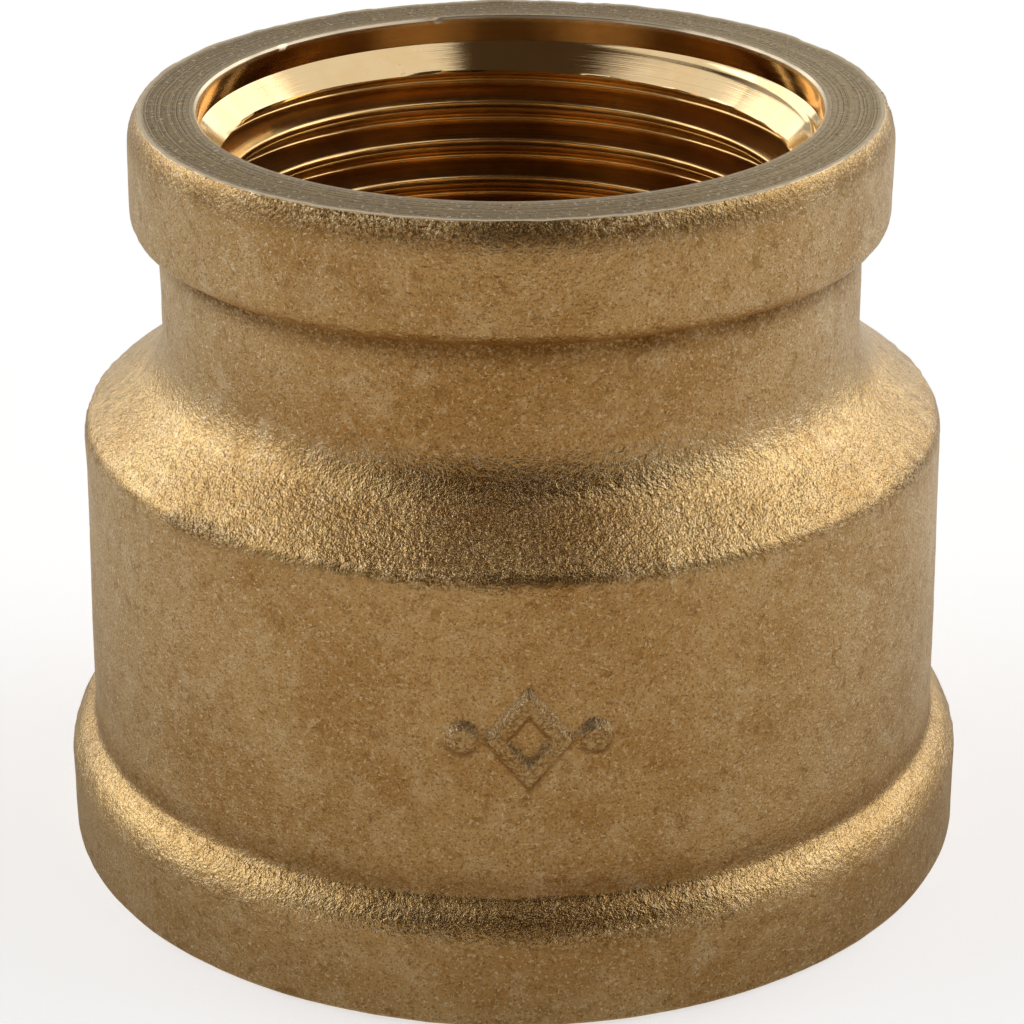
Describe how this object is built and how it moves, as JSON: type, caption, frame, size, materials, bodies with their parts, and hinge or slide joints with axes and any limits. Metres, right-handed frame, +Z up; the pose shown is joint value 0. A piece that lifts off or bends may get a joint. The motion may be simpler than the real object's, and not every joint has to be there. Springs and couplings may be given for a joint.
{
  "type": "reducing coupling",
  "caption": "Straight brass pipe coupling with internal threads at both ends, one larger than the other, a stepped round body and a rounded collar at each mouth.",
  "frame": {"origin": "centre of the large end's machined face, which the coupling stands on", "axes": "+Z runs up the bore axis and leaves by the small end; -Y faces the raised mark"},
  "size_m": [0.0508, 0.0508, 0.042],
  "materials": {
    "brass": "as-cast sandy skin outside, with turned end faces and bright cut threads inside"
  },
  "bodies": {
    "root": {"coupling_body": "brass"}
  },
  "joints": []
}
